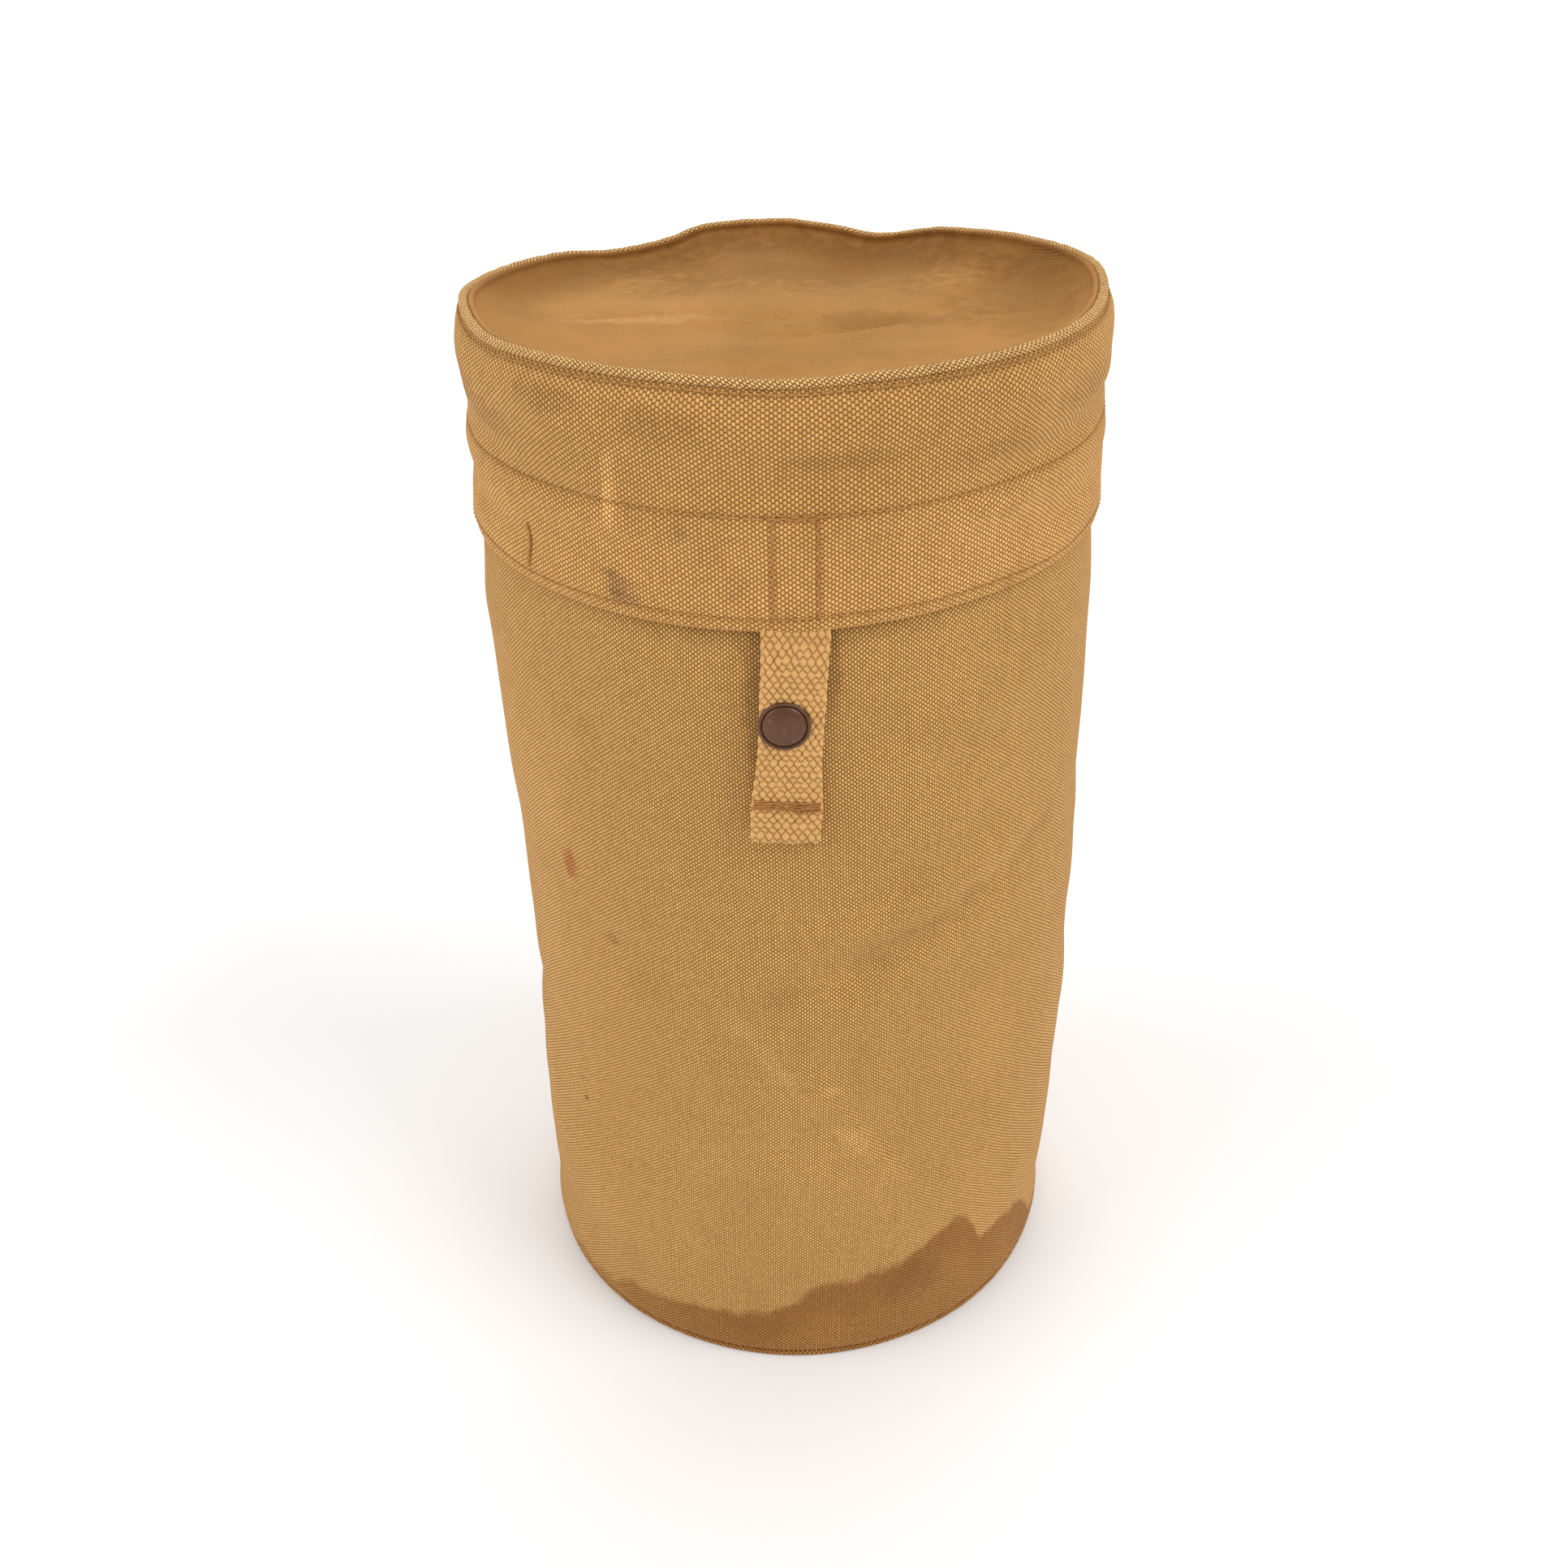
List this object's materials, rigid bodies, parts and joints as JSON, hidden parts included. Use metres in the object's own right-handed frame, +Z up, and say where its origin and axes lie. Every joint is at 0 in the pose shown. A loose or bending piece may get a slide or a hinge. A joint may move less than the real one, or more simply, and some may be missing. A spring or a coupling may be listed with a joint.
{
  "type": "canvas pouch with fitted cap",
  "caption": "Round upright canvas pouch with a flat base and a deep fitted cap lid that closes with a webbing strap and press stud.",
  "frame": {"origin": "middle of the flat base", "axes": "+Z up through the mouth, -Y towards the front strap and press stud, +X to the right seen from the front"},
  "size_m": [0.2052, 0.2113, 0.3634],
  "materials": {
    "canvas": "heavy plain-weave cotton duck, khaki tan, matt, faded and water stained",
    "webbing": "thick woven cotton webbing with a beaded face, khaki tan",
    "binding_tape": "flat cotton tape, khaki tan",
    "thread": "tan cotton sewing thread",
    "brown_thread": "reddish-brown waxed thread",
    "bronzed_brass": "dark bronze-brown lacquer, satin, lightly rubbed at the rim",
    "brass": "dulled brass",
    "spring_wire": "plain spring wire"
  },
  "bodies": {
    "pouch": {"body_panel": "canvas", "base_disc": "canvas", "base_binding": "binding_tape", "base_stitching": "thread", "mouth_stitching": "thread", "back_seam_stitching": "thread", "stud_patch": "canvas", "stud": "brass", "stud_eyelet": "brass", "hinge_strap_lower": "webbing", "hinge_strap_lower_stitching": "brown_thread"},
    "lid": {"lid_top": "canvas", "lid_skirt": "canvas", "lid_facing": "canvas", "strap_root": "webbing", "band_stitching": "thread", "hem_stitching": "thread", "rim_stitching": "thread", "root_stitching": "brown_thread", "band_bartack": "brown_thread", "hinge_strap_upper": "webbing", "hinge_strap_upper_stitching": "brown_thread"},
    "front_strap": {"closure_strap": "webbing", "tip_stitching": "brown_thread", "stud_cap": "bronzed_brass", "socket": "brass", "socket_spring": "spring_wire"}
  },
  "joints": [
    {"name": "lid_hinge", "type": "hinge", "parent": "pouch", "child": "lid", "pos_m": [0, 0.1048, 0.295], "axis": [-1, 0, 0], "range_deg": [0, 170]},
    {"name": "strap_hinge", "type": "hinge", "parent": "lid", "child": "front_strap", "pos_m": [0, -0.1039, 0.2948], "axis": [-1, 0, 0], "range_deg": [0, 160]}
  ]
}
